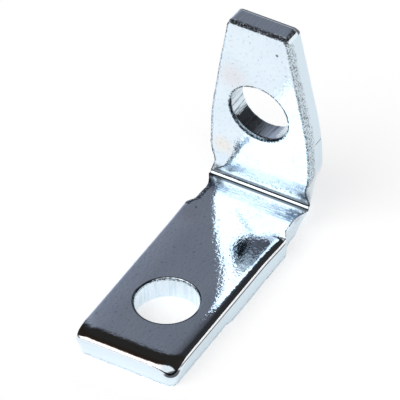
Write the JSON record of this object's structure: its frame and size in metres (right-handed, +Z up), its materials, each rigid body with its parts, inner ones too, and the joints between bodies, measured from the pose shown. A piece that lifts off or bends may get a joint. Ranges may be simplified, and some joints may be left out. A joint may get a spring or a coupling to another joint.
{
  "type": "connector mounting bracket",
  "caption": "Small right-angle sheet-metal bracket: a flat board leg with a round hole and a tapered upright with another, relieved beside its sharp fold.",
  "frame": {"origin": "on the board hole's axis, at the underside of the board leg", "axes": "+Z up from the circuit board, along the board hole; +Y along the board leg to the upright's outer face; +X across the width"},
  "size_m": [0.0058, 0.0145, 0.0117],
  "materials": {
    "zinc_plate": "gloss"
  },
  "bodies": {
    "root": {"bracket": "zinc_plate"}
  },
  "joints": []
}
